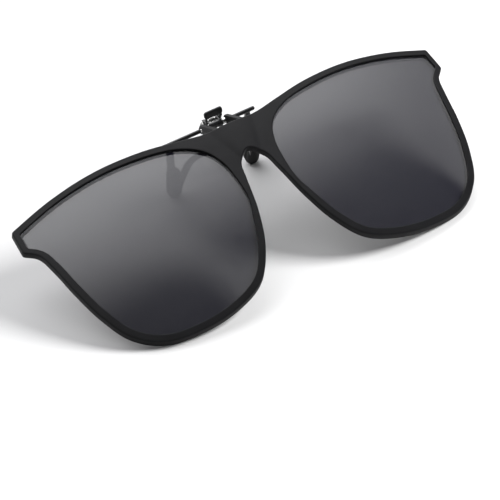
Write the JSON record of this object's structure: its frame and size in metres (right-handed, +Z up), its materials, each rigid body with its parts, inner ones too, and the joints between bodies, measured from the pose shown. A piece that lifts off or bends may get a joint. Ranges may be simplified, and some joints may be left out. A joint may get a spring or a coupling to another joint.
{
  "type": "clip-on sunglasses",
  "caption": "Flip-up clip-on sunglasses: tinted lenses in a black one-piece front, with a sprung, rubber-tipped metal clip hinged behind the bridge.",
  "frame": {"origin": "bottom centre of the bounding box, on the table that the rims and the two lower clip tips rest on", "axes": "+X across the face towards the right lens as seen from the front, +Y from the lower rims towards the clip, +Z up from the table"},
  "size_m": [0.148, 0.0746, 0.0344],
  "materials": {
    "black_plastic": "fine moulded texture, satin",
    "grey_lens": "polished, neutral grey tint",
    "bright_steel": "bright nickel plate",
    "black_steel": "black coating, semi-gloss",
    "black_rubber": "matt moulded rubber",
    "black_pad": "smooth moulded cap"
  },
  "bodies": {
    "front": {"front_frame": "black_plastic", "lens_left": "grey_lens", "lens_right": "grey_lens", "flip_pin": "bright_steel"},
    "fixed_jaw": {"hinge_bracket": "black_steel", "bracket_rivet": "black_steel", "fork_plate": "black_steel", "jaw_pin": "bright_steel", "jaw_spring": "bright_steel", "flip_washer_left": "bright_steel", "flip_washer_right": "bright_steel", "lower_tip_left": "black_rubber", "lower_tip_right": "black_rubber"},
    "moving_jaw": {"thumb_lever": "black_steel", "thumb_pad": "black_pad", "jaw_bar": "black_steel", "upper_tip_left": "black_rubber", "upper_tip_right": "black_rubber"}
  },
  "joints": [
    {"name": "flip_hinge", "type": "hinge", "parent": "front", "child": "fixed_jaw", "pos_m": [0, 0.02402, 0.02695], "axis": [1, 0, 0], "range_deg": [-90, 0]},
    {"name": "jaw_hinge", "type": "hinge", "parent": "fixed_jaw", "child": "moving_jaw", "pos_m": [0, 0.02683, 0.02718], "axis": [1, 0, 0], "range_deg": [0, 11], "stiffness_Nm_per_rad": 0.03, "springref_deg": -11.46}
  ]
}
